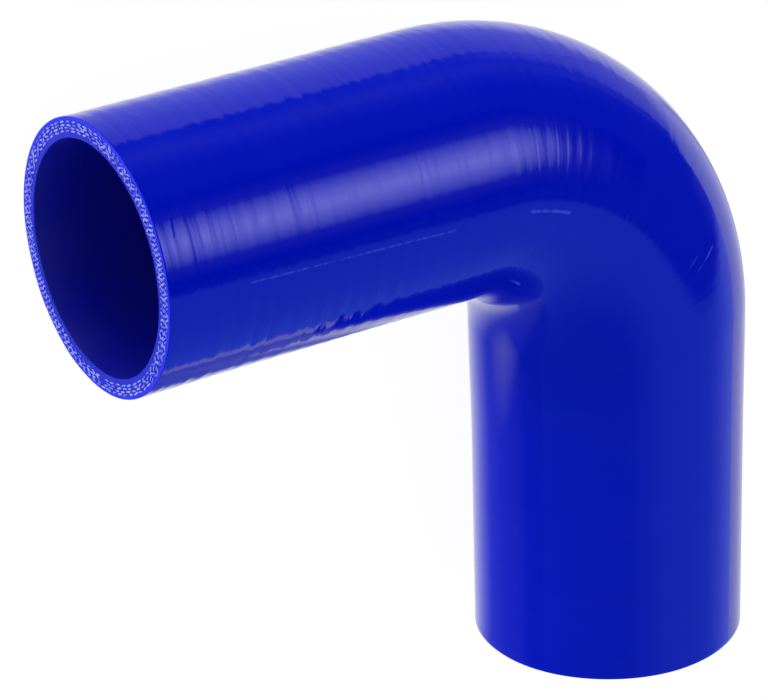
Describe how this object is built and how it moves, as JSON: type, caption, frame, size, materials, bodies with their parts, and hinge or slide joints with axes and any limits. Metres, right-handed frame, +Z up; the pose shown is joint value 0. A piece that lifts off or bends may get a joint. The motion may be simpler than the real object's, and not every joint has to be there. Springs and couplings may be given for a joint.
{
  "type": "silicone elbow hose",
  "caption": "Fabric-reinforced silicone elbow hose with a tight right-angle bend and two straight legs, for joining two pipe ends in an engine bay.",
  "frame": {"origin": "on the floor under the middle of the hose's bounding box, with the hose lying on its side", "axes": "+Z up; the large leg points along +Y and the small leg along +X, both with their axes level"},
  "size_m": [0.1816, 0.1746, 0.0706],
  "materials": {
    "silicone": "glossy, with fine wrap marks"
  },
  "bodies": {
    "root": {"elbow_hose": "silicone"}
  },
  "joints": []
}
